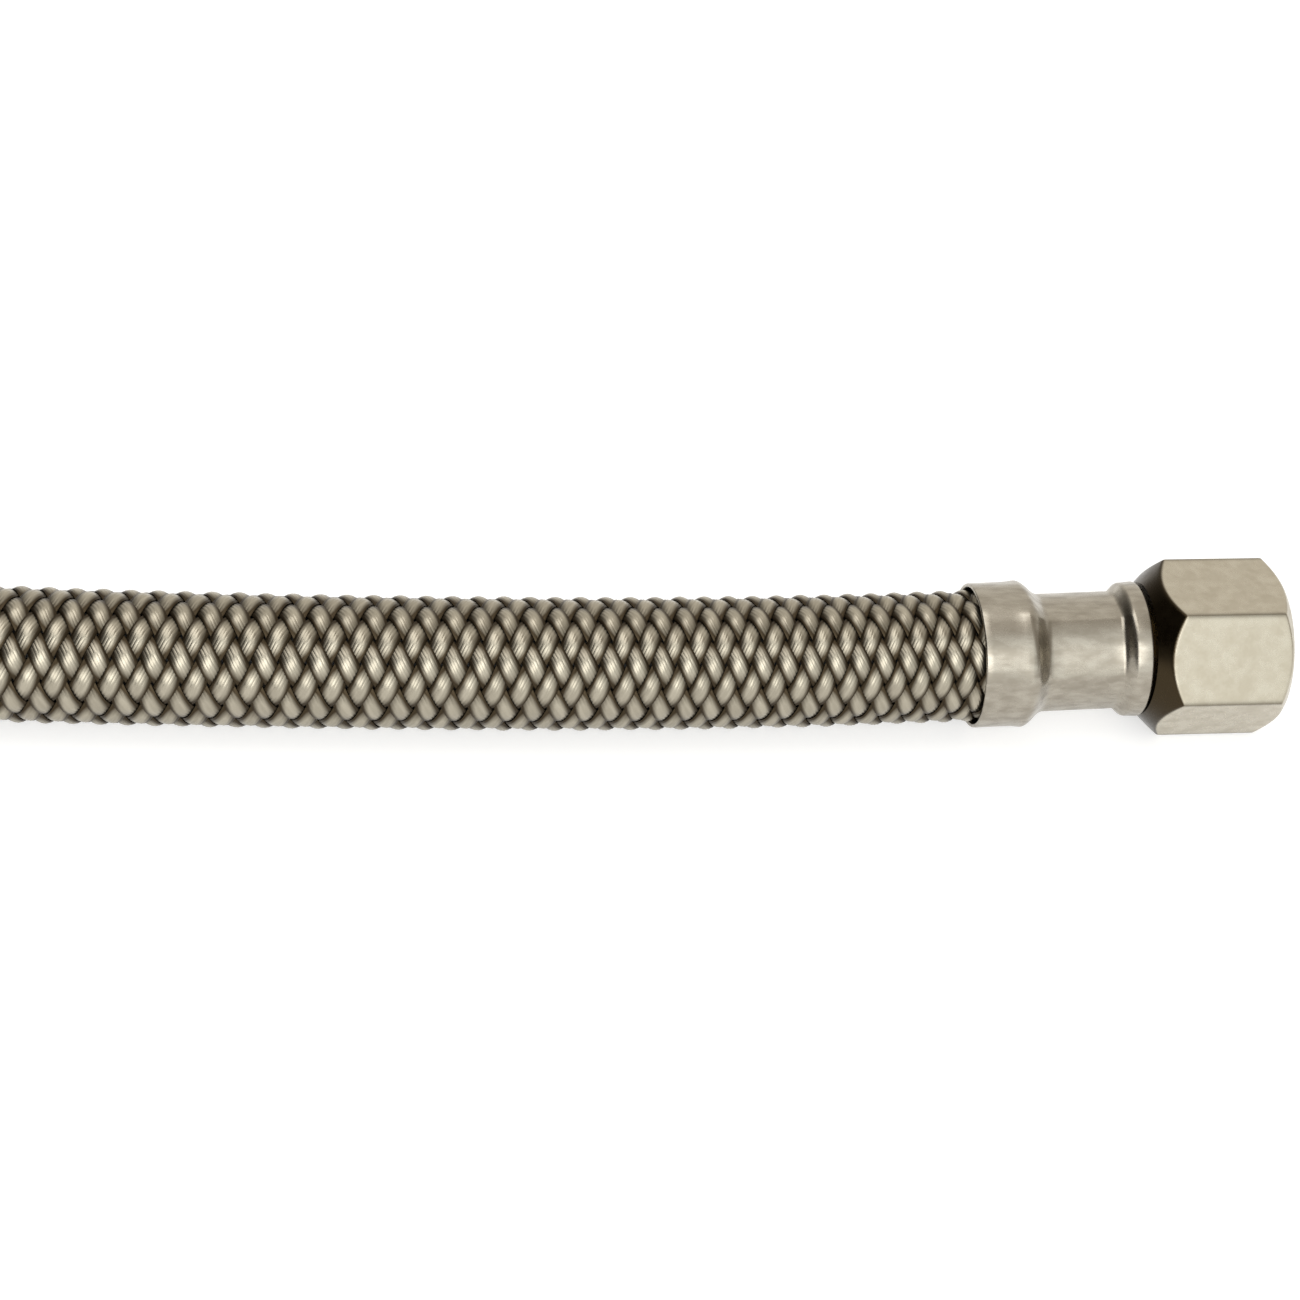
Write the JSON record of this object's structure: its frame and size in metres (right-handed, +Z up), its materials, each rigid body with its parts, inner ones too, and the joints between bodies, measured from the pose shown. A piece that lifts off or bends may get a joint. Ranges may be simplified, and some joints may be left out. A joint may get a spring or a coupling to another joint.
{
  "type": "faucet connector",
  "caption": "Short braided stainless steel water supply hose with a crimped ferrule and a swivelling hexagonal compression nut at each end.",
  "frame": {"origin": "on the surface the nuts rest on, under the middle of the connector", "axes": "+X along the hose towards the valve nut, +Z up"},
  "size_m": [0.2292, 0.0208, 0.0159],
  "materials": {
    "nut": "satin nickel plate on brass",
    "ferrule": "bright pressed stainless steel",
    "insert": "turned brass",
    "seal": "moulded black rubber",
    "tube": "extruded black rubber",
    "braid": "woven stainless steel wire"
  },
  "bodies": {
    "root": {"braid_sleeve": "braid", "inner_tube": "tube", "valve_ferrule": "ferrule", "valve_insert": "insert", "valve_seal": "seal", "faucet_ferrule": "ferrule", "faucet_insert": "insert", "faucet_seal": "seal"},
    "valve_nut": {"valve_nut": "nut"},
    "faucet_nut": {"faucet_nut": "nut"}
  },
  "joints": [
    {"name": "valve_swivel", "type": "hinge", "parent": "root", "child": "valve_nut", "pos_m": [0.10159, 0.00049, 0.00794], "axis": [0.9976, 0.0697, 0], "continuous": true},
    {"name": "faucet_swivel", "type": "hinge", "parent": "root", "child": "faucet_nut", "pos_m": [-0.10159, 0.00049, 0.00794], "axis": [0.9976, -0.0697, 0], "continuous": true}
  ]
}
